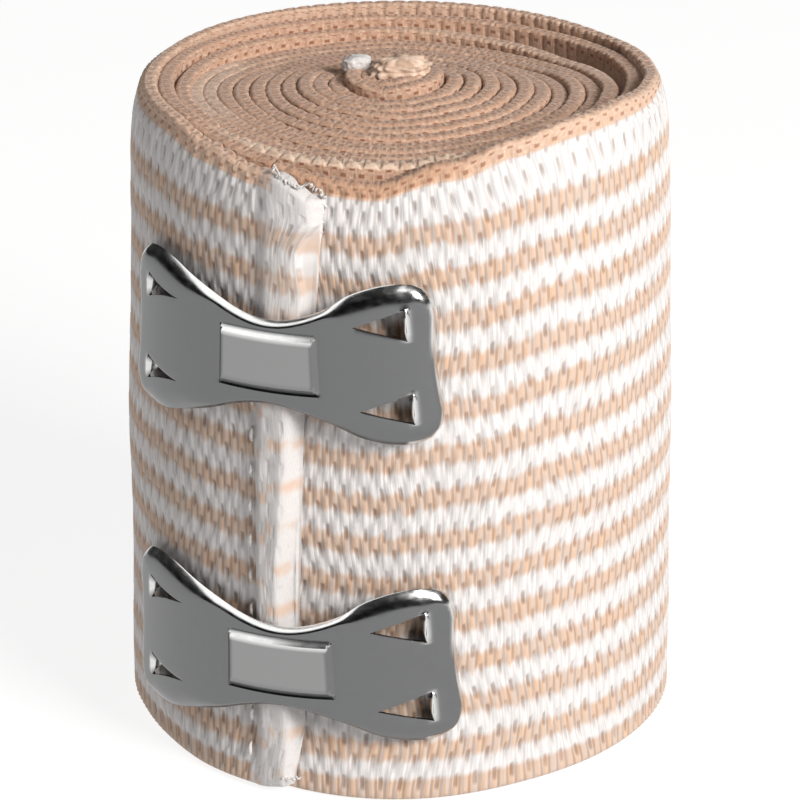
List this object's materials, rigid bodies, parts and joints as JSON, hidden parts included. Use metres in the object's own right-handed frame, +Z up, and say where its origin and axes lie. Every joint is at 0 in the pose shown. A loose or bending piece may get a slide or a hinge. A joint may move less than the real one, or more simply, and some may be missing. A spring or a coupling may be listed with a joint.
{
  "type": "crepe bandage roll with two retaining clips",
  "caption": "Rolled strip of striped crepe bandage standing on one end, its hemmed loose end held down by two bow-tie steel clips.",
  "frame": {"origin": "middle of the flat foot on which the roll stands", "axes": "+Z up along the roll's axis, -Y towards the side where the loose end and the clips are seen, +X to the right from there"},
  "size_m": [0.063, 0.0649, 0.0786],
  "materials": {
    "crepe_cloth": "woven crepe, peach and white stripes",
    "clip_steel": "pressed, semi-bright"
  },
  "bodies": {
    "root": {"wound_roll": "crepe_cloth", "loose_end": "crepe_cloth", "clip_upper": "clip_steel", "clip_lower": "clip_steel"}
  },
  "joints": []
}
